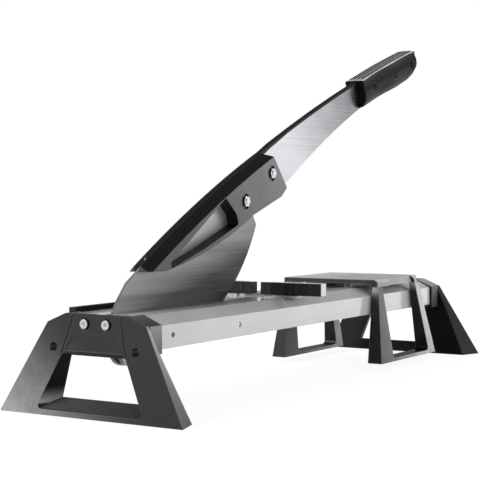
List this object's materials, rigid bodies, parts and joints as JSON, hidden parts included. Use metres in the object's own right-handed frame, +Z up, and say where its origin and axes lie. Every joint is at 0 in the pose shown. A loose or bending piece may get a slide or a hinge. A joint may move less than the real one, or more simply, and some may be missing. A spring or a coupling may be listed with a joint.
{
  "type": "laminate cutter",
  "caption": "Lever guillotine for laminate planks: aluminium rails on moulded feet, a curved blade on a long lever, a turning fence and a sliding plank support.",
  "frame": {"origin": "centre of the front foot's sole, on the floor", "axes": "+X along the rails from the front foot to the rear foot, +Y to the left seen from the front foot, +Z up"},
  "size_m": [0.6589, 0.206, 0.3815],
  "materials": {
    "moulding": "fine-grained black moulding",
    "aluminium": "satin anodised",
    "steel": "plain ground steel",
    "blade_steel": "dark brushed along the blade",
    "zinc": "bright zinc plated",
    "rubber": "soft black rubber",
    "grip": "ribbed soft grip",
    "bronze": "sintered bronze"
  },
  "bodies": {
    "base": {"front_foot": "moulding", "rear_foot": "moulding", "front_foot_screws": "zinc", "rear_foot_screws": "zinc", "front_foot_pads": "rubber", "rear_foot_pads": "rubber", "right_rail": "aluminium", "left_rail": "aluminium", "rail_ties": "steel", "counter_blade": "steel", "counter_blade_screws": "zinc", "edge_strip": "rubber", "right_cheek": "steel", "left_cheek": "steel", "cheek_screws": "zinc", "hinge_pin": "zinc", "hinge_nut": "zinc", "thrust_washers": "bronze", "fence_guide_screws": "zinc"},
    "lever": {"blade": "blade_steel", "blade_bush": "bronze", "lever_bar": "aluminium", "right_holder": "moulding", "left_holder": "moulding", "holder_bolts": "zinc", "holder_nuts": "zinc", "right_handle_shell": "moulding", "left_handle_shell": "moulding", "handle_pad": "grip", "handle_screws": "zinc"},
    "fence": {"fence_plate_slide": "steel", "right_fence_rail": "aluminium", "left_fence_rail": "aluminium", "fence_strips": "rubber", "fence_rivets": "zinc"},
    "support": {"support_top": "moulding", "right_support_leg": "moulding", "left_support_leg": "moulding"}
  },
  "joints": [
    {"name": "lever_hinge", "type": "hinge", "parent": "base", "child": "lever", "pos_m": [0.0415, -0.002, 0.061], "axis": [0, 1, 0], "range_deg": [-36, 18]},
    {"name": "fence_swivel", "type": "hinge", "parent": "base", "child": "fence", "pos_m": [0.2665, -0.002, 0.091], "axis": [0, 0, 1], "range_deg": [-45, 45]},
    {"name": "support_slide", "type": "slide", "parent": "base", "child": "support", "axis": [1, 0, 0], "range_m": [-0.06, 0.02]}
  ]
}
